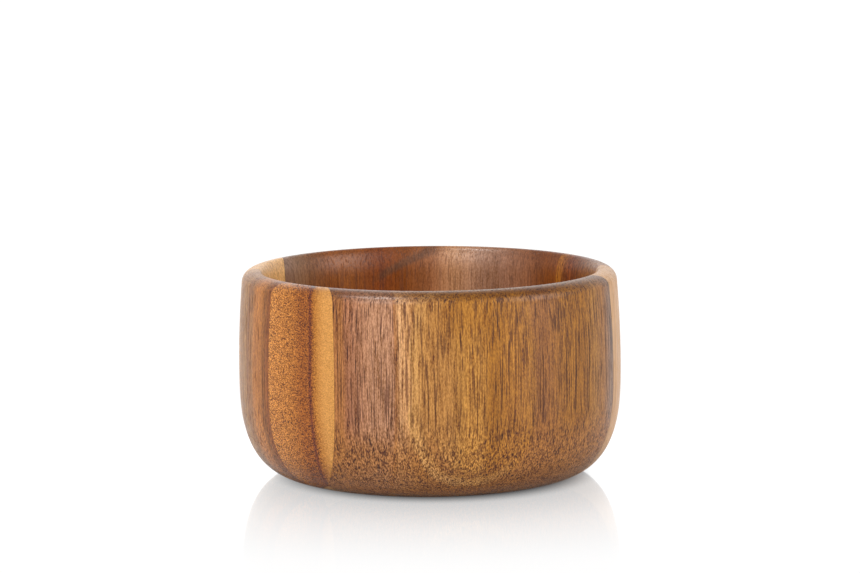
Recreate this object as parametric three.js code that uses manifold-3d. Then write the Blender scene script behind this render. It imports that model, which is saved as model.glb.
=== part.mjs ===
// A round wooden serving bowl, turned on a lathe from a glued-up blank of seven acacia pieces.
// Millimetres, +Z up. The origin is the centre of the foot, on the surface the bowl stands on.
import * as THREE from "three";
import { mergeVertices } from "three/addons/utils/BufferGeometryUtils.js";
import Module from "manifold-3d";

// The turned outside, from the foot up.
const outerRadius = 80; // at the belly, the widest place
const height = 86.5; // to the crest of the rim
const footRadius = 50.7; // edge of the flat foot
const bellyHeight = 44.4; // where the bowl is widest
const bellyFullness = 2.72; // exponent of the lower curve: 2 is an ellipse, higher is squarer
const upperTaper = 1.5; // how far the wall draws in between the belly and the rim
const rimRoundHeight = 5.8; // height of the rounded outer shoulder of the rim
const rimRoundWidth = 6.6; // width of that shoulder, in plan
const rimFullness = 2.3; // exponent of the shoulder's curve

// The turned hollow.
const wallThickness = 11.7; // at the belly
const lipDepth = 12; // how far down the rim's inner edge rounds over
const floorThickness = 11; // at the centre of the foot
const cornerWidth = 28; // plan width of the curve between the inner wall and the floor

// The glued blank. The rows of wood are turned about +Z from the bowl's own axes, and these
// joint places are distances from the centre in the turned frame.
const rowTurn = THREE.MathUtils.degToRad(13.1);
const endRowJoint = -53.2; // the end row of three short blocks lies beyond this one
const endRowFrontCut = -29.3;
const endRowBackCut = 16;
const frontBoardJoint = -42.5; // the four long boards are parted at these three
const middleJoint = -13;
const backBoardJoint = 28;
const glueLine = 0.3; // gap that a glued joint takes up

// How finely the curves are divided.
const turns = 72;
const curveSteps = 9;
const cuttingReach = outerRadius + height; // block sides that are not joints pass clear of the bowl

// Points of a superellipse quarter from start to end, leaving start along X and reaching end
// along Y.
function quarterCurve(start, end, fullness) {
  const points = [];
  for (let step = 0; step <= curveSteps; step += 1) {
    const angle = (step / curveSteps) * (Math.PI / 2);
    const across = Math.sin(angle) ** (2 / fullness);
    const along = 1 - Math.cos(angle) ** (2 / fullness);
    points.push(
      new THREE.Vector2(
        start.x + (end.x - start.x) * across,
        start.y + (end.y - start.y) * along,
      ),
    );
  }
  return points;
}

// Foot, belly, drawn-in upper wall and shoulder, up to the crest of the rim.
function outsideProfile(shoulder, crest) {
  const footEdge = new THREE.Vector2(footRadius, 0);
  const belly = new THREE.Vector2(outerRadius, bellyHeight);
  const points = quarterCurve(footEdge, belly, bellyFullness);
  for (let step = 1; step < curveSteps; step += 1) {
    const rise = step / curveSteps;
    points.push(
      new THREE.Vector2(
        outerRadius - upperTaper * rise ** 2,
        bellyHeight + (shoulder.y - bellyHeight) * rise,
      ),
    );
  }
  const shoulderCurve = quarterCurve(crest, shoulder, rimFullness).reverse();
  return points.concat(shoulderCurve);
}

// Rounded inner lip, straight wall, corner and floor, down from the crest of the rim.
function hollowProfile(crest) {
  const hollowRadius = outerRadius - wallThickness;
  const lipFoot = new THREE.Vector2(hollowRadius, height - lipDepth);
  const lip = quarterCurve(crest, lipFoot, 2).slice(1);
  const floorEdge = new THREE.Vector2(hollowRadius - cornerWidth, floorThickness);
  const wallFoot = new THREE.Vector2(hollowRadius, bellyHeight);
  const corner = quarterCurve(floorEdge, wallFoot, bellyFullness).reverse();
  return [...lip, ...corner];
}

// The whole turned bowl as one closed lathe surface, standing on the foot.
function turnedBowl() {
  const shoulder = new THREE.Vector2(outerRadius - upperTaper, height - rimRoundHeight);
  const crest = new THREE.Vector2(shoulder.x - rimRoundWidth, height);
  const profile = [
    new THREE.Vector2(0, 0),
    ...outsideProfile(shoulder, crest),
    ...hollowProfile(crest),
    new THREE.Vector2(0, floorThickness),
  ];
  return new THREE.LatheGeometry(profile, turns).rotateX(Math.PI / 2);
}

const wasm = await Module();
wasm.setup();

// A closed solid from a geometry: shared vertices merged, and the triangles that a lathe
// pinches to nothing on its axis left out.
function solidFrom(geometry) {
  geometry.deleteAttribute("normal");
  geometry.deleteAttribute("uv");
  const merged = mergeVertices(geometry);
  const index = merged.getIndex().array;
  const triangles = [];
  for (let corner = 0; corner < index.length; corner += 3) {
    const [a, b, c] = index.slice(corner, corner + 3);
    if (a !== b && b !== c && c !== a) {
      triangles.push(a, b, c);
    }
  }
  return new wasm.Manifold(
    new wasm.Mesh({
      numProp: 3,
      vertProperties: new Float32Array(merged.getAttribute("position").array),
      triVerts: new Uint32Array(triangles),
    }),
  );
}

function geometryFrom(solid) {
  const mesh = solid.getMesh();
  const geometry = new THREE.BufferGeometry();
  geometry.setAttribute("position", new THREE.BufferAttribute(mesh.vertProperties, 3));
  geometry.setIndex(new THREE.BufferAttribute(mesh.triVerts, 1));
  geometry.computeVertexNormals();
  return geometry;
}

// The part of the blank between two joints each way. Each joint gives up half a glue line.
function blankBetween(leftJoint, rightJoint, frontJoint, backJoint) {
  const left = leftJoint + glueLine / 2;
  const right = rightJoint - glueLine / 2;
  const front = frontJoint + glueLine / 2;
  const back = backJoint - glueLine / 2;
  const block = new THREE.BoxGeometry(right - left, back - front, 2 * cuttingReach);
  block.translate((left + right) / 2, (front + back) / 2, 0);
  block.rotateZ(rowTurn);
  return solidFrom(block);
}

const far = cuttingReach;
const pieces = [
  ["left_front_block", [-far, endRowJoint, -far, endRowFrontCut], 0xb98048],
  ["left_middle_block", [-far, endRowJoint, endRowFrontCut, endRowBackCut], 0x8a6240],
  ["left_back_block", [-far, endRowJoint, endRowBackCut, far], 0xcfa168],
  ["front_board", [endRowJoint, far, -far, frontBoardJoint], 0x9c6c43],
  ["front_inner_board", [endRowJoint, far, frontBoardJoint, middleJoint], 0xc49a6c],
  ["back_inner_board", [endRowJoint, far, middleJoint, backBoardJoint], 0x7f4d2c],
  ["back_board", [endRowJoint, far, backBoardJoint, far], 0x835639],
];

const bowl = solidFrom(turnedBowl());
const group = new THREE.Group();
for (const [name, joints, color] of pieces) {
  const piece = bowl.intersect(blankBetween(...joints));
  const material = new THREE.MeshStandardMaterial({ color, roughness: 0.45, metalness: 0 });
  const mesh = new THREE.Mesh(geometryFrom(piece), material);
  mesh.name = name;
  group.add(mesh);
}

export default group;
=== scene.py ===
"""A round serving bowl turned from a glued-up acacia blank, on a white table.

Lengths are metres, except in the wood's own coordinates, which are millimetres.
"""

import logging
import math
from dataclasses import dataclass, field
from enum import Enum
from typing import Any

import bpy
from mathutils import Matrix, Vector


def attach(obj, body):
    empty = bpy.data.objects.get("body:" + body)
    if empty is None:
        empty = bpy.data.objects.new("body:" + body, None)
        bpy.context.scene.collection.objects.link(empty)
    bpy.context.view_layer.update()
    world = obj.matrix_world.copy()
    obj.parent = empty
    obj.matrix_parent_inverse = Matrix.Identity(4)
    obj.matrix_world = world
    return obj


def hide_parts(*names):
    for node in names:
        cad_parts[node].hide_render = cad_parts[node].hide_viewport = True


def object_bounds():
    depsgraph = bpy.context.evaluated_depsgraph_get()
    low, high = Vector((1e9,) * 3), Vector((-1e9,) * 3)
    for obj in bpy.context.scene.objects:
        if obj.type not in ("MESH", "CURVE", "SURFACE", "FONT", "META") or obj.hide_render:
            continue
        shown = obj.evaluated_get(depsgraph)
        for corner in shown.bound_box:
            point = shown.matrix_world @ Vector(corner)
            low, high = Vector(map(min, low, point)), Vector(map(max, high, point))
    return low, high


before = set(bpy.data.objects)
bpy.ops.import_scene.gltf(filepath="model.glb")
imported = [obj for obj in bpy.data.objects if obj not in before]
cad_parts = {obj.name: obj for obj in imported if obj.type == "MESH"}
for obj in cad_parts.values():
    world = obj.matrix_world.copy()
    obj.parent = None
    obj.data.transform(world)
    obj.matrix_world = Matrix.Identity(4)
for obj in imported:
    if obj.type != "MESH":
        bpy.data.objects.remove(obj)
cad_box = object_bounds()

MM = 0.001
ROW_TURN = math.radians(13.1)
WHITE = (1.0, 1.0, 1.0, 1.0)
BLACK = (0.0, 0.0, 0.0, 1.0)
SOCKET = bpy.types.NodeSocket
Span = tuple[float, float]
Point = tuple[float, float]
Triple = tuple[float, float, float]
log = logging.getLogger("bowl")


class Grain(Enum):
    """Which way the fibres of a piece of wood run."""

    UPRIGHT = "along the bowl's axis"
    LEVEL = "level, along the growth rings"


class Tone(Enum):
    """Colours of oiled acacia, as screen values."""

    SAP = "ca8e46"
    SAP_WARM = "ae6e26"
    SAP_PALE = "dca868"
    SAP_TAN = "c2905a"
    HONEY = "c4803a"
    HEART = "b06e2c"
    CLAY = "945218"
    GOLD = "ae783a"
    DEEP_GOLD = "b67e36"
    STRAW = "c29052"
    AMBER = "a47030"
    OCHRE = "9c641c"
    BRASS = "a66c24"
    WALNUT = "8e561e"
    HAZEL = "9c662c"
    NUT = "9e6432"
    BROWN = "8a4a1c"
    UMBER = "7c4216"
    ROSE = "ae7c5a"
    FAWN = "c69260"
    PLUM = "a06744"
    RUSSET = "9c642a"
    RUST = "9e5a20"
    CHESTNUT = "86441a"
    TOFFEE = "905220"
    CLOVE = "965e38"
    ALMOND = "b07e56"
    DUSK = "a4785c"
    SEPIA = "845e40"
    SMOKE = "86644e"
    MOLE = "966a50"
    COCOA = "6a442c"
    WINE = "682c18"
    ORANGE = "a2621e"

    def linear(self) -> tuple[float, float, float, float]:
        """Gives the tone as linear RGBA."""
        channels = [int(self.value[k:k + 2], 16) / 255 for k in (0, 2, 4)]
        red, green, blue = (
            c / 12.92 if c <= 0.04045 else ((c + 0.055) / 1.055) ** 2.4 for c in channels
        )
        return (red, green, blue, 1.0)


Bands = tuple[tuple[float, Tone], ...]


class Wiring:
    """Adds nodes to one tree and joins them up."""

    def __init__(self, tree: bpy.types.NodeTree) -> None:
        """Keeps the tree.

        Args:
            tree: the node tree that new nodes go in.
        """
        self.tree = tree

    def add(
        self, kind: str, inputs: dict[Any, Any] | None = None, **settings: Any,
    ) -> bpy.types.Node:
        """Adds a node.

        Args:
            kind: the node's type name.
            inputs: what each input is set to or joined to, by name or number.
            settings: the node's own properties.

        Returns:
            The new node.
        """
        node = self.tree.nodes.new(kind)
        for key, value in settings.items():
            setattr(node, key, value)
        for key, value in (inputs or {}).items():
            if isinstance(value, SOCKET):
                self.tree.links.new(value, node.inputs[key])
            else:
                node.inputs[key].default_value = value
        return node

    def math(self, operation: str, *values: Any, clamp: bool = False) -> SOCKET:
        """Adds a Math node and gives its output.

        Args:
            operation: the Math node's operation.
            values: its inputs, in order.
            clamp: whether the result is held between 0 and 1.

        Returns:
            The result.
        """
        inputs = dict(enumerate(values))
        return self.add("ShaderNodeMath", inputs, operation=operation, use_clamp=clamp).outputs[0]

    def vector(self, operation: str, *values: Any) -> SOCKET:
        """Adds a Vector Math node and gives its output.

        Args:
            operation: the node's operation.
            values: its inputs, in order; the scale of SCALE is its input 3.

        Returns:
            The result, a number for DOT_PRODUCT and LENGTH.
        """
        keys = (0, 3) if operation == "SCALE" else range(len(values))
        node = self.add("ShaderNodeVectorMath", dict(zip(keys, values)), operation=operation)
        return node.outputs["Value" if operation in ("DOT_PRODUCT", "LENGTH") else "Vector"]

    def noise(self, place: SOCKET, detail: float, result: str = "Fac") -> SOCKET:
        """Adds a Noise Texture of scale 1.

        Args:
            place: where it is read.
            detail: octaves of finer noise.
            result: Fac for one value, Color for three.

        Returns:
            The result, from 0 to 1.
        """
        inputs = {"Vector": place, "Scale": 1.0, "Detail": detail}
        return self.add("ShaderNodeTexNoise", inputs).outputs[result]

    def between(
        self, value: SOCKET, low: float, high: float, to_low: float = 0.0, to_high: float = 1.0,
    ) -> SOCKET:
        """Maps a value smoothly from one range to another and holds it there.

        Args:
            value: what is mapped.
            low: where the result starts to change.
            high: where it stops changing.
            to_low: the result at and below low.
            to_high: the result at and above high.

        Returns:
            The mapped value.
        """
        inputs = {
            "Value": value, "From Min": low, "From Max": high, "To Min": to_low, "To Max": to_high,
        }
        node = self.add("ShaderNodeMapRange", inputs, interpolation_type="SMOOTHSTEP")
        return node.outputs["Result"]

    def mix(self, share: Any, first: Any, second: Any, blend: str = "MIX") -> SOCKET:
        """Mixes two colours.

        Args:
            share: how much of the second shows.
            first: the first colour.
            second: the second colour.
            blend: the way they are mixed.

        Returns:
            The mixed colour.
        """
        inputs = {0: share, 6: first, 7: second}
        return self.add("ShaderNodeMix", inputs, data_type="RGBA", blend_type=blend).outputs[2]

    def parts(self, place: SOCKET) -> Any:
        """Splits a vector and gives its X, Y and Z."""
        return self.add("ShaderNodeSeparateXYZ", {0: place}).outputs

    def bands(self, place: SOCKET, stops: Bands) -> SOCKET:
        """Colours a distance by named tones.

        Args:
            place: a distance in millimetres.
            stops: distances and the tone at each, in rising order.

        Returns:
            The colour.
        """
        low, high = stops[0][0], stops[-1][0]
        share = self.math("DIVIDE", self.math("SUBTRACT", place, low), high - low, clamp=True)
        node = self.add("ShaderNodeValToRGB", {"Fac": share})
        ramp = node.color_ramp
        ramp.elements.remove(ramp.elements[1])
        ramp.elements[0].color = stops[0][1].linear()
        for at, tone in stops[1:]:
            ramp.elements.new((at - low) / (high - low)).color = tone.linear()
        return node.outputs["Color"]


@dataclass(frozen=True)
class Figure:
    """The fine structure of acacia: pores, threads and the pale tissue round the pores.

    Each layer is a spacing in millimetres across the fibres and one along them, except the
    medullary rays, which are given by how often they repeat in a millimetre on each axis of the
    grain. An edge is where the layer's pattern starts to show and where it is full.
    """

    coarse: Span = (0.85, 14.0)
    fine: Span = (0.62, 6.0)
    line: Span = (0.7, 34.0)
    thread: Span = (0.6, 20.0)
    fibre: Span = (1.3, 60.0)
    tissue: Span = (0.45, 1.2)
    streak: Span = (4.5, 90.0)
    cloud: Span = (16.0, 40.0)
    ray: Triple = (0.28, 2.6, 0.5)
    pore_edge: Span = (0.345, 0.18)
    pore_chance: Span = (0.2, 0.6)
    least_pore: float = 0.1
    line_edge: Span = (0.4, 0.27)
    streak_edge: Span = (0.05, 0.0)
    ray_edge: Span = (0.3, 0.7)

    def pores(self, wire: Wiring, place: SOCKET, size: Span) -> SOCKET:
        """Makes long thin pores that a surface cuts as dashes, or as dots on end grain.

        Args:
            wire: the tree's wiring.
            place: place in the wood, fibres along Z.
            size: their spacing across and along the fibres.

        Returns:
            How much of a pore is at each place, from 0 to 1; pores differ in strength.
        """
        spread = self.stretched(wire, place, size)
        cells = wire.add("ShaderNodeTexVoronoi", {"Vector": spread, "Scale": 1.0})
        inside = wire.between(cells.outputs["Distance"], *self.pore_edge)
        chance = wire.add("ShaderNodeSeparateColor", {0: cells.outputs["Color"]}).outputs[0]
        strength = wire.between(chance, *self.pore_chance, to_low=self.least_pore)
        return wire.math("MULTIPLY", inside, strength)

    @staticmethod
    def stretched(wire: Wiring, place: SOCKET, size: Span) -> SOCKET:
        """Scales a place so that one unit is the first size across and the second along."""
        return wire.vector("MULTIPLY", place, (1 / size[0], 1 / size[0], 1 / size[1]))

    def layer(
        self, wire: Wiring, place: SOCKET, size: Span, contrast: float, peak: float = 1.0,
        below: float = 0.5,
    ) -> SOCKET:
        """Makes a layer of noise from -1 up to a peak.

        Args:
            wire: the tree's wiring.
            place: place in the wood.
            size: its spacing across and along the fibres.
            contrast: the stretch of the noise that fills the full range; less is harder.
            peak: the layer's highest value.
            below: the share of that stretch that lies under the noise's middle.

        Returns:
            The layer.
        """
        noise = wire.noise(self.stretched(wire, place, size), detail=1.5)
        low, high = 0.5 - contrast * below, 0.5 + contrast * (1 - below)
        return wire.between(noise, low, high, -1.0, peak)

    def group(self) -> bpy.types.NodeTree:
        """Builds the structure as one node group.

        Returns:
            The group, which takes a place in the wood and gives its features.
        """
        tree = bpy.data.node_groups.new("acacia_figure", "ShaderNodeTree")
        tree.interface.new_socket("Place", in_out="INPUT", socket_type="NodeSocketVector")
        wire = Wiring(tree)
        place = wire.add("NodeGroupInput").outputs["Place"]
        line = wire.noise(self.stretched(wire, place, self.line), detail=0.0)
        streak = wire.math("ABSOLUTE", self.layer(wire, place, self.streak, contrast=1.0))
        ray = wire.noise(wire.vector("MULTIPLY", place, self.ray), detail=0.0)
        results = {
            "Coarse": self.pores(wire, place, self.coarse),
            "Fine": self.pores(wire, place, self.fine),
            "Line": wire.between(line, *self.line_edge),
            "Thread": self.layer(wire, place, self.thread, contrast=0.36, peak=0.12, below=0.7),
            "Fibre": self.layer(wire, place, self.fibre, contrast=0.6),
            "Tissue": self.layer(wire, place, self.tissue, contrast=0.3, peak=0.9),
            "Streak": wire.between(streak, *self.streak_edge),
            "Cloud": self.layer(wire, place, self.cloud, contrast=0.8),
            "Ray": wire.between(ray, *self.ray_edge, to_low=-1.0),
        }
        for name in results:
            tree.interface.new_socket(name, in_out="OUTPUT", socket_type="NodeSocketFloat")
        wire.add("NodeGroupOutput", dict(enumerate(results.values())))
        return tree


@dataclass(frozen=True)
class Arch:
    """An arched figure, where a board's face cuts into an inner set of growth bands.

    Lengths are millimetres in the glued rows' frame. The border's and the line's depths are
    counted from the arch's edge. A span is where something starts to show and where it is full.
    """

    bands: Bands
    edge: float
    curve: float
    edge_softness: float = 0.5
    wobble: float = 2.4
    wobble_scale: Triple = (0.25, 0.25, 0.07)
    left_half: Span = (22.0, 4.0)
    border: Span = (-2.8, -1.0)
    border_share: float = 0.5
    line_depth: float = -3.4
    line_width: Span = (1.0, 0.2)
    line_heights: Span = (34.0, 24.0)
    line_share: float = 0.4
    top_heights: Span = (58.0, 78.0)
    top_places: Span = (-20.0, -8.0)
    top_share: float = 0.75

    def laid(self, wire: Wiring, ring: SOCKET, swayed: SOCKET, outer: SOCKET) -> SOCKET:
        """Lays the arch over a board's outer bands.

        Args:
            wire: the tree's wiring.
            ring: place across the growth bands.
            swayed: the swayed place in the rows' frame.
            outer: the outer bands' colour.

        Returns:
            The colour with the arch.
        """
        rows = wire.parts(swayed)
        bow = wire.math("MULTIPLY", wire.math("POWER", rows[0], 2.0), self.curve)
        across = wire.math("SUBTRACT", wire.math("ADD", rows[1], bow), self.wobble / 2)
        noise = wire.noise(wire.vector("MULTIPLY", swayed, self.wobble_scale), detail=1.0)
        depth = wire.math("MULTIPLY_ADD", noise, self.wobble, across)
        inner = wire.bands(ring, self.bands)
        left = wire.between(ring, *self.left_half)
        start, full = (self.edge + part for part in self.border)
        border = wire.between(depth, start, full, to_high=self.border_share)
        inner = wire.mix(wire.math("MULTIPLY", border, left), inner, Tone.STRAW.linear())
        away = wire.math("ABSOLUTE", wire.math("SUBTRACT", depth, self.edge + self.line_depth))
        line = wire.between(away, *self.line_width, to_high=self.line_share)
        line = wire.math("MULTIPLY", line, wire.between(rows[2], *self.line_heights))
        inner = wire.mix(wire.math("MULTIPLY", line, left), inner, Tone.UMBER.linear())
        top = wire.between(rows[2], *self.top_heights, to_high=self.top_share)
        top = wire.math("MULTIPLY", top, wire.between(ring, *self.top_places))
        inner = wire.mix(top, inner, Tone.OCHRE.linear())
        soft = self.edge_softness
        return wire.mix(wire.between(depth, self.edge + soft, self.edge - soft), outer, inner)


@dataclass(frozen=True)
class Vein:
    """One dark slanting mineral streak.

    Lengths are millimetres in the glued rows' frame. The width's span is where it starts to show
    and where it is full, from its middle line; the ends' spans are the same along the row.
    """

    height: float
    slope: float
    width: Span = (3.0, 0.5)
    share: float = 0.8
    left_end: Span = (-12.0, -2.0)
    right_end: Span = (24.0, 14.0)

    def laid(self, wire: Wiring, swayed: SOCKET, colour: SOCKET) -> SOCKET:
        """Lays the streak over a colour.

        Args:
            wire: the tree's wiring.
            swayed: the swayed place in the rows' frame.
            colour: the banded colour.

        Returns:
            The colour with the streak.
        """
        rows = wire.parts(swayed)
        middle = wire.math("MULTIPLY_ADD", rows[0], self.slope, self.height)
        away = wire.math("ABSOLUTE", wire.math("SUBTRACT", rows[2], middle))
        share = wire.between(away, *self.width, to_high=self.share)
        for end in (self.left_end, self.right_end):
            share = wire.math("MULTIPLY", share, wire.between(rows[0], *end))
        return wire.mix(share, colour, Tone.COCOA.linear())


@dataclass(frozen=True)
class Acacia:
    """The wood of one piece of the blank.

    Places are millimetres in the glued rows' frame. The ring direction is the level direction
    square to the growth rings, as an angle from the rows' own X. Heights are spans, from where
    something starts to show to where it is full.
    """

    slot: str
    bands: Bands
    ring_turn: float
    grain: Grain = Grain.UPRIGHT
    offset: Triple = (0.0, 0.0, 0.0)
    arch: Arch | None = None
    vein: Vein | None = None
    coarse: float = 0.75
    fine: float = 0.5
    line: float = 0.6
    streak: float = 0.3
    thread: float = 0.5
    fibre: float = 0.16
    tissue: float = 0.22
    cloud: float = 0.08
    ray: float = 0.0
    sway: float = 1.2
    sway_scale: Triple = (0.035, 0.035, 0.014)
    calm: Span | None = None
    calm_share: float = 0.3
    bow: float = 0.0
    bow_height: float = 45.0
    low_tone: Tone | None = None
    low_heights: Span = (36.0, 20.0)
    low_share: float = 0.8
    swell: float = 1.8
    swell_heights: Span = (38.0, 18.0)
    # Painted shade: crest is how much a band at the rim's crest darkens, where little light falls
    # from above; foot is how much the bowl darkens low down, where it turns in over the table.
    crest: float = 0.2
    crest_shade_heights: Span = (81.5, 85.5)
    foot: float = 0.35
    foot_shade_heights: Span = (19.0, 5.0)
    pore_shade: Triple = (0.28, 0.19, 0.15)
    # the tint of that painted shade on the crest and low on the bowl
    painted_shade_tint: Triple = (0.16, 0.10, 0.06)
    light_slopes: Triple = (1.0, 1.2, 1.5)
    least_light: float = 0.1
    relief: float = 0.06 * MM
    relief_strength: float = 0.5
    thread_relief: float = 0.15
    roughness: float = 0.33
    thread_roughness: float = 0.03
    pore_roughness: float = 0.2
    ior: float = 1.42

    def directions(self) -> tuple[Vector, Vector, Vector]:
        """Gives the ring direction, the direction along the rings and the fibre direction."""
        angle = math.radians(self.ring_turn)
        ring = Vector((math.cos(angle), math.sin(angle), 0.0))
        level = Vector((-math.sin(angle), math.cos(angle), 0.0))
        up = Vector((0.0, 0.0, 1.0))
        return (ring, up, level) if self.grain is Grain.LEVEL else (ring, level, up)

    def material(self, figure: bpy.types.NodeTree) -> bpy.types.Material:
        """Builds the finish.

        Args:
            figure: the fine structure's node group.

        Returns:
            The material.
        """
        made = bpy.data.materials.new(self.slot)
        made.use_nodes = True
        made.node_tree.nodes.clear()
        wire = Wiring(made.node_tree)
        place = self.row_place(wire)
        swayed = self.swayed_place(wire, place)
        ring, level, fibre = [wire.vector("DOT_PRODUCT", swayed, way) for way in self.directions()]
        grain_place = wire.add("ShaderNodeCombineXYZ", {0: ring, 1: level, 2: fibre}).outputs[0]
        shifted = wire.vector("ADD", grain_place, self.offset)
        marks = wire.add("ShaderNodeGroup", {"Place": shifted}, node_tree=figure).outputs
        bent = self.bent_ring(wire, ring, place)
        colour = self.base_colour(wire, bent, swayed)
        colour = self.marked_colour(wire, place, bent, colour, marks)
        # painted shade on the rim's crest and low on the bowl
        colour = self.painted_end_shade(wire, colour, place)
        self.finish(wire, colour, marks)
        return made

    @staticmethod
    def row_place(wire: Wiring) -> SOCKET:
        """Gives the place in millimetres in the glued rows' frame."""
        coords = wire.add("ShaderNodeTexCoord").outputs["Object"]
        mm = wire.vector("SCALE", coords, 1 / MM)
        turn = {"Vector": mm, "Rotation": (0, 0, -ROW_TURN)}
        return wire.add("ShaderNodeMapping", turn).outputs[0]

    def swayed_place(self, wire: Wiring, place: SOCKET) -> SOCKET:
        """Lets the grain wander gently.

        Args:
            wire: the tree's wiring.
            place: the place in the rows' frame.

        Returns:
            The place, moved by up to about half the sway.
        """
        spot = wire.vector("ADD", wire.vector("MULTIPLY", place, self.sway_scale), self.offset)
        noise = wire.noise(spot, detail=2.0, result="Color")
        move = wire.vector("SUBTRACT", noise, (0.5, 0.5, 0.5))
        return wire.vector("ADD", place, wire.vector("SCALE", move, 2 * self.sway))

    def bent_ring(self, wire: Wiring, ring: SOCKET, place: SOCKET) -> SOCKET:
        """Bows the growth bands aside low on the bowl.

        Args:
            wire: the tree's wiring.
            ring: place across the straight growth bands.
            place: the place in the rows' frame.

        Returns:
            The place across the bowed bands.
        """
        under = wire.math("SUBTRACT", self.bow_height, wire.parts(place)[2])
        under = wire.math("MAXIMUM", under, 0.0)
        rise = wire.math("MULTIPLY", wire.math("POWER", under, 2.0), self.bow)
        return wire.math("SUBTRACT", ring, rise)

    def base_colour(self, wire: Wiring, ring: SOCKET, swayed: SOCKET) -> SOCKET:
        """Colours the growth bands.

        Args:
            wire: the tree's wiring.
            ring: place across the growth bands.
            swayed: the swayed place in the rows' frame.

        Returns:
            The colour before pores and fibres.
        """
        colour = wire.bands(ring, self.bands)
        if self.low_tone:
            height = wire.parts(swayed)[2]
            low = wire.between(height, *self.low_heights, to_high=self.low_share)
            colour = wire.mix(low, colour, self.low_tone.linear())
        if self.vein:
            colour = self.vein.laid(wire, swayed, colour)
        if self.arch:
            colour = self.arch.laid(wire, ring, swayed, colour)
        return colour

    def marked_colour(
        self, wire: Wiring, place: SOCKET, ring: SOCKET, colour: SOCKET, marks: Any,
    ) -> SOCKET:
        """Lays fibres, tissue, clouds, rays, streaks and pores over the bands.

        Args:
            wire: the tree's wiring.
            place: the place in the rows' frame.
            ring: place across the growth bands.
            colour: the banded colour.
            marks: the fine structure's outputs.

        Returns:
            The colour with its fine structure.
        """
        height = wire.parts(place)[2]
        most = self.tissue * self.swell
        tissue = wire.between(height, *self.swell_heights, self.tissue, most)
        tone = wire.math("MULTIPLY", marks["Tissue"], tissue)
        tones = {"Thread": self.thread, "Fibre": self.fibre, "Cloud": self.cloud, "Ray": self.ray}
        for name, amount in tones.items():
            tone = wire.math("MULTIPLY_ADD", marks[name], amount, tone)
        shade = wire.math("MULTIPLY", marks["Coarse"], self.coarse)
        shades = {"Fine": self.fine, "Line": self.line, "Streak": self.streak}
        for name, amount in shades.items():
            shade = wire.math("MAXIMUM", shade, wire.math("MULTIPLY", marks[name], amount))
        if self.calm:
            keep = wire.between(ring, *self.calm, 1.0, self.calm_share)
            tone = wire.math("MULTIPLY", tone, keep)
            shade = wire.math("MULTIPLY", shade, keep)
        light = wire.vector("MULTIPLY_ADD", tone, self.light_slopes, (1.0, 1.0, 1.0))
        light = wire.vector("MAXIMUM", light, (self.least_light,) * 3)
        colour = wire.vector("MULTIPLY", colour, light)
        dark = wire.mix(1.0, colour, (*self.pore_shade, 1.0), "MULTIPLY")
        return wire.mix(shade, colour, dark)

    def painted_end_shade(self, wire: Wiring, colour: SOCKET, place: SOCKET) -> SOCKET:
        """Paints shade on the rim's crest, which faces the dim light from above, and low on the
        bowl above the foot, where it turns in over the table.

        Args:
            wire: the tree's wiring.
            colour: the wood's colour.
            place: the place in the rows' frame.

        Returns:
            The colour with painted shade on the crest and low on the bowl.
        """
        height = wire.parts(place)[2]
        # painted shade: a darker band at the rim's crest, and darker towards the bottom of the
        # bowl
        crest = wire.between(height, *self.crest_shade_heights, to_high=self.crest)
        foot = wire.between(height, *self.foot_shade_heights, to_high=self.foot)
        shaded = wire.mix(1.0, colour, (*self.painted_shade_tint, 1.0), "MULTIPLY")
        return wire.mix(wire.math("MAXIMUM", crest, foot), colour, shaded)

    def finish(self, wire: Wiring, colour: SOCKET, marks: Any) -> None:
        """Makes the oiled satin surface, with open pores sunk into it.

        Args:
            wire: the tree's wiring.
            colour: the wood's colour.
            marks: the fine structure's outputs.
        """
        pits = wire.math("MAXIMUM", marks["Coarse"], marks["Fine"])
        pits = wire.math("MAXIMUM", pits, marks["Line"])
        sunk = wire.math("MULTIPLY", pits, -1.0)
        height = wire.math("MULTIPLY_ADD", marks["Thread"], self.thread_relief, sunk)
        relief = {"Strength": self.relief_strength, "Distance": self.relief, "Height": height}
        bump = wire.add("ShaderNodeBump", relief).outputs[0]
        rough = wire.math("MULTIPLY_ADD", marks["Thread"], self.thread_roughness, self.roughness)
        rough = wire.math("MULTIPLY_ADD", pits, self.pore_roughness, rough)
        surface = {"Base Color": colour, "Roughness": rough, "Normal": bump, "IOR": self.ior}
        shader = wire.add("ShaderNodeBsdfPrincipled", surface).outputs[0]
        wire.add("ShaderNodeOutputMaterial", {"Surface": shader})


FRONT = Acacia(
    slot="front_acacia",
    ring_turn=0.0,
    bands=(
        (-54, Tone.NUT), (-50.5, Tone.NUT), (-49, Tone.PLUM), (-40, Tone.ROSE),
        (-32.2, Tone.ROSE), (-31.2, Tone.NUT), (-30, Tone.FAWN), (-20, Tone.BRASS),
        (16, Tone.BRASS), (30, Tone.WALNUT), (40, Tone.OCHRE), (50, Tone.OCHRE),
        (56, Tone.AMBER), (61, Tone.HAZEL), (66, Tone.SMOKE), (70, Tone.COCOA),
    ),
    arch=Arch(
        bands=(
            (-30, Tone.STRAW), (-27, Tone.STRAW), (-24, Tone.GOLD), (-10.5, Tone.GOLD),
            (-6, Tone.AMBER), (-3.5, Tone.DEEP_GOLD), (2.5, Tone.DEEP_GOLD), (6, Tone.OCHRE),
            (9, Tone.OCHRE), (13, Tone.BRASS), (20, Tone.BRASS), (25, Tone.OCHRE),
        ),
        edge=-71.5,
        curve=0.00615,
    ),
    coarse=0.95,
    line=0.85,
    streak=0.35,
    low_tone=Tone.RUSSET,
    # crest and foot: painted shade on the rim's crest and low on the bowl
    crest=0.6,
    swell=2.3,
    foot=0.28,
    offset=(11.0, 4.0, 7.0),
)
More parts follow.
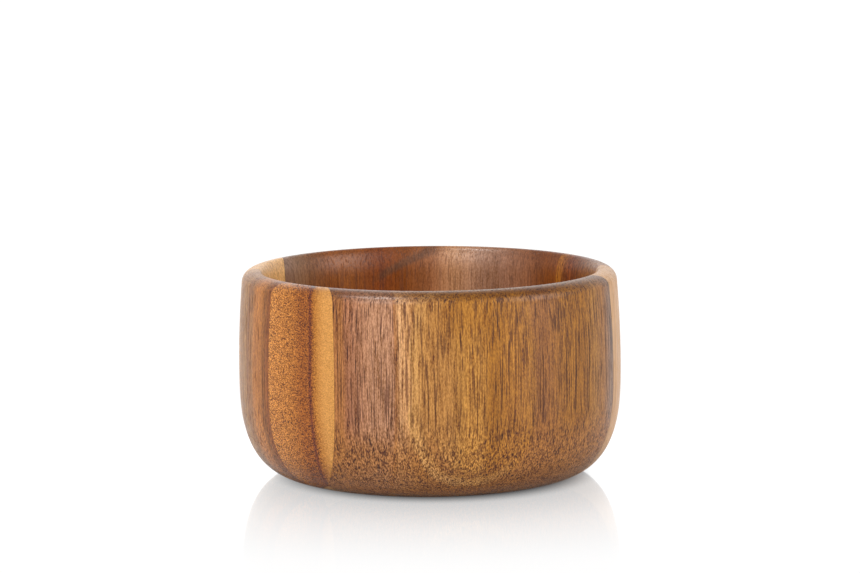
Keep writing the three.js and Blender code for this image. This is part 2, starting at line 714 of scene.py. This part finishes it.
FRONT_INNER = Acacia(
    slot="front_inner_acacia",
    ring_turn=90.0,
    bands=((-43, Tone.SAP_TAN), (-13, Tone.SAP_TAN)),
    coarse=0.15,
    fine=0.2,
    line=0.1,
    streak=0.0,
    thread=0.1,
    tissue=0.04,
    offset=(31.0, 14.0, 70.0),
)
BACK_INNER = Acacia(
    slot="back_inner_acacia",
    ring_turn=90.0,
    bands=(
        (-13, Tone.RUST), (-8, Tone.HAZEL), (14, Tone.UMBER), (20, Tone.CHESTNUT),
        (23, Tone.TOFFEE), (26, Tone.ORANGE), (28, Tone.ORANGE),
    ),
    offset=(5.0, 44.0, 30.0),
)
BACK = Acacia(
    slot="back_acacia",
    ring_turn=0.0,
    bands=(
        (-53, Tone.SMOKE), (-45, Tone.SEPIA), (-30, Tone.TOFFEE), (-20, Tone.TOFFEE),
        (-6, Tone.CHESTNUT), (5, Tone.UMBER), (16, Tone.CLOVE), (26, Tone.ALMOND),
        (36, Tone.DUSK), (44, Tone.MOLE), (60, Tone.UMBER),
    ),
    coarse=0.5,
    fine=0.4,
    line=0.4,
    thread=0.16,
    fibre=0.12,
    tissue=0.16,
    cloud=0.3,
    vein=Vein(height=77.3, slope=0.447),
    offset=(51.0, 24.0, 10.0),
)
LEFT_BACK = Acacia(
    slot="left_back_acacia",
    ring_turn=0.0,
    bands=((-80, Tone.SAP_PALE), (-50, Tone.SAP_PALE)),
    coarse=0.1,
    fine=0.15,
    line=0.1,
    streak=0.0,
    thread=0.08,
    offset=(81.0, 94.0, 50.0),
)
LEFT_MIDDLE = Acacia(
    slot="left_middle_acacia",
    ring_turn=90.0,
    bands=(
        (-29.5, Tone.BROWN), (-25, Tone.WALNUT), (-22.5, Tone.HEART), (-16, Tone.HEART),
        (-14, Tone.HAZEL), (-9, Tone.WALNUT), (-7, Tone.AMBER), (4, Tone.HAZEL),
        (10, Tone.SAP_TAN), (16, Tone.SAP_TAN),
    ),
    fine=0.4,
    thread=0.2,
    offset=(71.0, 4.0, 90.0),
)
LEFT_FRONT = Acacia(
    slot="left_front_acacia",
    ring_turn=-21.7,
    grain=Grain.LEVEL,
    bands=(
        (-58.6, Tone.ORANGE), (-57.6, Tone.HONEY), (-48, Tone.HEART), (-42, Tone.CLAY),
        (-39, Tone.CLAY), (-38, Tone.WINE), (-37.2, Tone.CLAY), (-36, Tone.SAP_WARM),
        (-32, Tone.SAP), (-26, Tone.SAP),
    ),
    calm=(-37.5, -34.0),
    bow=0.003,
    coarse=0.4,
    line=0.0,
    tissue=0.54,
    swell=1.2,
    streak=0.0,
    ray=0.06,
    offset=(21.0, 4.0, 77.0),
)


@dataclass
class TurnedBowl:
    """The turned shape and the seven pieces it is cut into."""

    outer_radius: float
    height: float
    foot_radius: float = 50.7 * MM
    belly_height: float = 44.4 * MM
    belly_fullness: float = 2.72
    upper_taper: float = 1.5 * MM
    rim_round_height: float = 5.8 * MM
    rim_round_width: float = 6.6 * MM
    rim_fullness: float = 2.3
    wall: float = 11.7 * MM
    lip_depth: float = 12.0 * MM
    floor: float = 11.0 * MM
    corner_width: float = 28.0 * MM
    end_row_joint: float = -53.2 * MM
    end_row_front_cut: float = -29.3 * MM
    end_row_back_cut: float = 16.0 * MM
    front_board_joint: float = -42.5 * MM
    middle_joint: float = -13.0 * MM
    back_board_joint: float = 28.0 * MM
    glue_line: float = 0.07 * MM
    turns: int = 320
    rings: int = 420
    curve_steps: int = 48
    least_crease: float = math.radians(30)
    merge_distance: float = 0.001 * MM
    pieces: list[bpy.types.Object] = field(default_factory=list)

    def quarter(self, start: Point, end: Point, fullness: float) -> list[Point]:
        """Draws a quarter of a superellipse that leaves start level and reaches end upright.

        Args:
            start: radius and height of the first point.
            end: radius and height of the last point.
            fullness: 2 for an ellipse, more for a squarer curve.

        Returns:
            Points of radius and height.
        """
        points = []
        for step in range(self.curve_steps + 1):
            angle = step / self.curve_steps * math.pi / 2
            across = math.sin(angle) ** (2 / fullness)
            along = 1 - max(math.cos(angle), 0.0) ** (2 / fullness)
            points.append((
                start[0] + (end[0] - start[0]) * across,
                start[1] + (end[1] - start[1]) * along,
            ))
        return points

    def profile(self) -> list[Point]:
        """Draws half of the section, from the foot's centre round the rim to the floor's.

        Returns:
            Points of radius and height.
        """
        shoulder = (self.outer_radius - self.upper_taper, self.height - self.rim_round_height)
        crest = (shoulder[0] - self.rim_round_width, self.height)
        belly = (self.outer_radius, self.belly_height)
        outside = self.quarter((self.foot_radius, 0.0), belly, self.belly_fullness)
        for step in range(1, self.curve_steps):
            rise = step / self.curve_steps
            outside.append((
                self.outer_radius - self.upper_taper * rise**2,
                self.belly_height + (shoulder[1] - self.belly_height) * rise,
            ))
        outside += self.quarter(crest, shoulder, self.rim_fullness)[::-1]
        hollow = self.outer_radius - self.wall
        lip = self.quarter(crest, (hollow, self.height - self.lip_depth), 2.0)[1:]
        wall_foot = (hollow, self.belly_height)
        floor_edge = (hollow - self.corner_width, self.floor)
        corner = self.quarter(floor_edge, wall_foot, self.belly_fullness)
        return [(0.0, 0.0), *outside, *lip, *corner[::-1], (0.0, self.floor)]

    def profile_mesh(self) -> bpy.types.Mesh:
        """Makes the section a chain of edges in the XZ plane."""
        points = self.profile()
        mesh = bpy.data.meshes.new("profile")
        edges = [(k, k + 1) for k in range(len(points) - 1)]
        mesh.from_pydata([(radius, 0.0, height) for radius, height in points], edges, [])
        return mesh

    @staticmethod
    def declare(tree: bpy.types.NodeTree, name: str, kind: str, default: Any = None) -> None:
        """Gives a tree one input.

        Args:
            tree: the Geometry Nodes tree.
            name: the input's name.
            kind: what it holds, such as Float.
            default: its default value, where it has one.
        """
        kind = "NodeSocket" + kind
        socket = tree.interface.new_socket(name, in_out="INPUT", socket_type=kind)
        if default is not None:
            socket.default_value = default

    def block_tree(self) -> bpy.types.NodeTree:
        """Builds the tree that spins the section and keeps the wood of one block.

        Returns:
            The Geometry Nodes tree.
        """
        tree = bpy.data.node_groups.new("turned_block", "GeometryNodeTree")
        self.declare(tree, "Geometry", "Geometry")
        self.declare(tree, "Turns", "Int", self.turns)
        self.declare(tree, "Rings", "Int", self.rings)
        self.declare(tree, "Block Centre", "Vector")
        self.declare(tree, "Block Size", "Vector")
        self.declare(tree, "Row Turn", "Float", ROW_TURN)
        self.declare(tree, "Wood", "Material")
        tree.interface.new_socket("Geometry", in_out="OUTPUT", socket_type="NodeSocketGeometry")
        wire = Wiring(tree)
        given = wire.add("NodeGroupInput").outputs
        turn = wire.add("ShaderNodeCombineXYZ", {2: given["Row Turn"]}).outputs[0]
        block = wire.add("GeometryNodeMeshCube", {"Size": given["Block Size"]}).outputs["Mesh"]
        for move in ({"Translation": given["Block Centre"]}, {"Rotation": turn}):
            block = wire.add("GeometryNodeTransform", {"Geometry": block, **move}).outputs[0]
        cut = wire.add("GeometryNodeMeshBoolean", {}, operation="INTERSECT", solver="MANIFOLD")
        for solid in (self.spin(wire, given), block):
            tree.links.new(solid, cut.inputs["Mesh 2"])
        kept = wire.add("GeometryNodeSetShadeSmooth", {"Geometry": cut.outputs["Mesh"]}).outputs[0]
        corner = wire.add("GeometryNodeInputMeshEdgeAngle").outputs["Unsigned Angle"]
        sharp = wire.math("GREATER_THAN", corner, self.least_crease)
        crease = {"Geometry": kept, "Selection": sharp, "Shade Smooth": False}
        kept = wire.add("GeometryNodeSetShadeSmooth", crease, domain="EDGE").outputs[0]
        kept = wire.add("GeometryNodeRealizeInstances", {"Geometry": kept}).outputs[0]
        dress = {"Geometry": kept, "Material": given["Wood"]}
        wire.add("NodeGroupOutput", {0: wire.add("GeometryNodeSetMaterial", dress).outputs[0]})
        return tree

    def spin(self, wire: Wiring, given: Any) -> SOCKET:
        """Spins the section round the bowl's axis.

        Args:
            wire: the tree's wiring.
            given: the tree's inputs.

        Returns:
            One closed mesh.
        """
        section = wire.add("GeometryNodeMeshToCurve", {"Mesh": given["Geometry"]}).outputs[0]
        columns = wire.math("ADD", given["Turns"], 1.0)
        size = {"Size X": 1.0, "Size Y": 1.0, "Vertices X": columns, "Vertices Y": given["Rings"]}
        sheet = wire.add("GeometryNodeMeshGrid", size).outputs["Mesh"]
        flat = wire.parts(wire.add("GeometryNodeInputPosition").outputs[0])
        angle = wire.math("MULTIPLY", wire.math("ADD", flat[0], 0.5), 2 * math.pi)
        along = wire.math("ADD", flat[1], 0.5, clamp=True)
        read = wire.add(
            "GeometryNodeSampleCurve", {"Curves": section, "Factor": along},
            mode="FACTOR", use_all_curves=True,
        )
        point = wire.parts(read.outputs["Position"])
        radius = wire.math("MAXIMUM", point[0], 0.0)
        place = wire.add("ShaderNodeCombineXYZ", {
            0: wire.math("MULTIPLY", radius, wire.math("COSINE", angle)),
            1: wire.math("MULTIPLY", radius, wire.math("SINE", angle)),
            2: point[2],
        }).outputs[0]
        bent = {"Geometry": sheet, "Position": place}
        bent = wire.add("GeometryNodeSetPosition", bent).outputs[0]
        merge = {"Geometry": bent, "Distance": self.merge_distance}
        return wire.add("GeometryNodeMergeByDistance", merge).outputs[0]

    def block(
        self, tree: bpy.types.NodeTree, name: str, across: Span, along: Span,
        wood: bpy.types.Material,
    ) -> bpy.types.Object:
        """Makes one piece of the bowl.

        Args:
            tree: the Geometry Nodes tree.
            name: the piece's name.
            across: its left and right joints in the rows' frame.
            along: its front and back joints in the rows' frame.
            wood: its material.

        Returns:
            The piece, a plain mesh at the origin.
        """
        gap = self.glue_line / 2
        left, right = across[0] + gap, across[1] - gap
        front, back = along[0] + gap, along[1] - gap
        source = bpy.data.objects.new(name + "_source", self.profile_mesh())
        bpy.context.collection.objects.link(source)
        modifier = source.modifiers.new("turned block", "NODES")
        modifier.node_group = tree
        values = {
            "Turns": self.turns, "Rings": self.rings, "Row Turn": ROW_TURN, "Wood": wood,
            "Block Centre": ((left + right) / 2, (front + back) / 2, self.height / 2),
            "Block Size": (right - left, back - front, 4 * self.height),
        }
        for socket in tree.interface.items_tree:
            if socket.in_out == "INPUT" and socket.name in values:
                modifier[socket.identifier] = values[socket.name]
        evaluated = source.evaluated_get(bpy.context.evaluated_depsgraph_get())
        mesh = bpy.data.meshes.new_from_object(evaluated)
        mesh.name = name
        profile = source.data
        bpy.data.objects.remove(source)
        bpy.data.meshes.remove(profile)
        piece = bpy.data.objects.new(name, mesh)
        bpy.context.collection.objects.link(piece)
        return piece

    def build(self) -> None:
        """Builds all seven pieces and hands them to the frame."""
        figure = Figure().group()
        tree = self.block_tree()
        far = 2 * self.outer_radius
        end_row = (-far, self.end_row_joint)
        boards = (self.end_row_joint, far)
        front_cut, back_cut = self.end_row_front_cut, self.end_row_back_cut
        front, middle, back = self.front_board_joint, self.middle_joint, self.back_board_joint
        layout = (
            ("left_front_block", end_row, (-far, front_cut), LEFT_FRONT),
            ("left_middle_block", end_row, (front_cut, back_cut), LEFT_MIDDLE),
            ("left_back_block", end_row, (back_cut, far), LEFT_BACK),
            ("front_board", boards, (-far, front), FRONT),
            ("front_inner_board", boards, (front, middle), FRONT_INNER),
            ("back_inner_board", boards, (middle, back), BACK_INNER),
            ("back_board", boards, (back, far), BACK),
        )
        for node, across, along, wood in layout:
            piece = self.block(tree, node + "_turned", across, along, wood.material(figure))
            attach(piece, "root")
            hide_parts(node)
            self.pieces.append(piece)


@dataclass
class Table:
    """The white gloss table, which brightens away from the bowl.

    Spans are distances from the middle of the bowl's contact shadow, from where something starts
    to show to where it is full.
    """

    reach: float = 6.0
    drop: float = 0.1 * MM
    roughness: float = 0.07
    reflectance: float = 0.8
    shadow_middle: Triple = (0.002, 0.0, 0.0)
    shadow_edge: Span = (0.05, 0.0715)
    glow_fall: float = 0.075
    foot_edge: Span = (0.048, 0.046)
    foot_glow: float = 0.6
    fade: Span = (0.085, 0.18)
    fade_share: float = 0.9
    far_glow: Span = (0.1, 0.2)
    least_far_glow: float = 0.88

    def build(self) -> None:
        """Lays the table just under the foot."""
        mesh = bpy.data.meshes.new("table")
        sides = (-self.reach, self.reach)
        corners = [(sides[0], sides[0], 0), (sides[1], sides[0], 0),
                   (sides[1], sides[1], 0), (sides[0], sides[1], 0)]
        mesh.from_pydata(corners, [], [(0, 1, 2, 3)])
        mesh.materials.append(self.material())
        table = bpy.data.objects.new("table", mesh)
        table.location.z = -self.drop
        bpy.context.collection.objects.link(table)

    def material(self) -> bpy.types.Material:
        """Builds the white gloss, which is clear from below.

        Returns:
            The material.
        """
        made = bpy.data.materials.new("white_gloss_table")
        made.use_nodes = True
        made.node_tree.nodes.clear()
        wire = Wiring(made.node_tree)
        coords = wire.add("ShaderNodeTexCoord").outputs["Object"]
        away = wire.vector("LENGTH", wire.vector("SUBTRACT", coords, self.shadow_middle))
        seen = wire.add("ShaderNodeLightPath").outputs["Is Camera Ray"]
        gloss = self.gloss(wire, away, seen)
        strength = wire.between(away, *self.far_glow, to_low=self.least_far_glow)
        bright = wire.add("ShaderNodeEmission", {"Strength": strength}).outputs[0]
        fade = wire.between(away, *self.fade, to_high=self.fade_share)
        fade = wire.math("MULTIPLY", seen, fade)
        top = wire.add("ShaderNodeMixShader", {0: fade, 1: gloss, 2: bright}).outputs[0]
        under = wire.add("ShaderNodeNewGeometry").outputs["Backfacing"]
        clear = wire.add("ShaderNodeBsdfTransparent").outputs[0]
        both = wire.add("ShaderNodeMixShader", {0: under, 1: top, 2: clear}).outputs[0]
        wire.add("ShaderNodeOutputMaterial", {"Surface": both})
        return made

    def gloss(self, wire: Wiring, away: SOCKET, seen: SOCKET) -> SOCKET:
        """Makes the gloss near the bowl, with its contact shadow and the light under the foot.

        Args:
            wire: the tree's wiring.
            away: distance from the middle of the contact shadow.
            seen: 1 for what the camera sees directly, 0 for light that bounces.

        Returns:
            The shader.
        """
        fall = wire.math("EXPONENT", wire.math("DIVIDE", away, -self.glow_fall))
        shadow = wire.between(away, *self.shadow_edge)
        glow = wire.math("MULTIPLY", wire.math("SUBTRACT", 1.0, fall), shadow)
        unseen = wire.math("SUBTRACT", 1.0, seen)
        foot = wire.between(away, *self.foot_edge, to_high=self.foot_glow)
        glow = wire.math("MULTIPLY_ADD", glow, seen, wire.math("MULTIPLY", unseen, foot))
        white = (self.reflectance, self.reflectance, self.reflectance, 1.0)
        surface = {
            "Base Color": wire.mix(seen, white, BLACK), "Roughness": self.roughness,
            "Emission Color": WHITE, "Emission Strength": glow,
        }
        return wire.add("ShaderNodeBsdfPrincipled", surface).outputs[0]


@dataclass
class Studio:
    """The light and the camera.

    The surround is a level of white on all sides, with a brighter wall and panel behind the bowl
    and a darker ceiling. The camera sees plain white. Spans are in the direction's Y or Z, from
    where something starts to where it is full.
    """

    bowl_height: float
    distance: float = 1.449
    elevation: float = math.radians(9.2)
    lens: float = 144.34
    sensor: float = 36.0
    tilt: float = math.radians(1.379)
    roll: float = math.radians(0.42)
    surround: float = 0.75
    back_wall: float = 1.2
    back_panel: float = 1.8
    ceiling: float = 0.5
    back_span: Span = (0.3, 0.95)
    panel_span: Span = (0.05, 0.3)
    ceiling_span: Span = (0.1, 0.9)

    def camera(self) -> None:
        """Sets the camera in front of the bowl and a little above it."""
        data = bpy.data.cameras.new("camera")
        data.lens = self.lens
        data.sensor_width = self.sensor
        data.clip_start, data.clip_end = 0.05, 20.0
        camera = bpy.data.objects.new("camera", data)
        bpy.context.collection.objects.link(camera)
        aim = Vector((0.0, 0.0, self.bowl_height / 2))
        back = Vector((0.0, -math.cos(self.elevation), math.sin(self.elevation)))
        turn = (-back).to_track_quat("-Z", "Y").to_matrix().to_4x4()
        tilt = Matrix.Rotation(self.tilt, 4, "X")
        roll = Matrix.Rotation(-self.roll, 4, "Z")
        place = Matrix.Translation(aim + back * self.distance)
        camera.matrix_world = place @ turn @ roll @ tilt
        bpy.context.scene.camera = camera

    def lights(self) -> None:
        """Lights the bowl from a white surround and three lamps."""
        world = bpy.data.worlds.new("white surround")
        world.use_nodes = True
        wire = Wiring(world.node_tree)
        ground = world.node_tree.nodes["Background"]
        ground.inputs["Color"].default_value = WHITE
        way = wire.parts(wire.add("ShaderNodeTexCoord").outputs["Generated"])
        behind = wire.between(way[2], *self.panel_span, self.back_wall, self.back_panel)
        extra = wire.math("SUBTRACT", behind, self.surround)
        back = wire.between(way[1], *self.back_span)
        wall = wire.math("MULTIPLY_ADD", back, extra, self.surround)
        ceiling = wire.between(way[2], *self.ceiling_span, 1.0, self.ceiling)
        glow = wire.math("MULTIPLY", wall, ceiling)
        seen = wire.add("ShaderNodeLightPath").outputs["Is Camera Ray"]
        world.node_tree.links.new(wire.math("MAXIMUM", glow, seen), ground.inputs["Strength"])
        bpy.context.scene.world = world
        self.lamp("key lamp", (-0.75, -1.5, 0.9), size=0.9, power=12.4, gloss=0.5)
        self.lamp("top lamp", (-0.58, -0.54, 1.39), size=0.28, power=11.0)
        self.lamp("side lamp", (1.4, -0.6, 0.6), size=1.0, power=11.0)

    def lamp(
        self, name: str, place: Triple, size: float, power: float, gloss: float = 1.0,
    ) -> None:
        """Hangs one square lamp that faces the bowl.

        Args:
            name: the lamp's name.
            place: where it hangs.
            size: its side.
            power: its power in watts.
            gloss: how strongly it shows in reflections.
        """
        data = bpy.data.lights.new(name, "AREA")
        data.shape = "SQUARE"
        data.size = size
        data.energy = power
        data.specular_factor = gloss
        lamp = bpy.data.objects.new(name, data)
        lamp.location = place
        aim = Vector((0.0, 0.0, self.bowl_height / 2)) - Vector(place)
        lamp.rotation_euler = aim.to_track_quat("-Z", "Y").to_euler()
        bpy.context.collection.objects.link(lamp)


def main() -> None:
    """Builds the bowl, the table and the studio, and notes the sizes."""
    logging.basicConfig(level=logging.INFO, format="%(name)s: %(message)s")
    low, high = cad_box
    bowl = TurnedBowl(outer_radius=(high.x - low.x) / 2, height=high.z - low.z)
    bowl.build()
    for piece in bowl.pieces:
        log.info("%s: %d faces", piece.name, len(piece.data.polygons))
    Table().build()
    studio = Studio(bowl.height)
    studio.lights()
    studio.camera()
    log.info("table, lamps and camera are set")
    bpy.context.scene.view_settings.view_transform = "Standard"


if __name__ == "__main__":
    main()
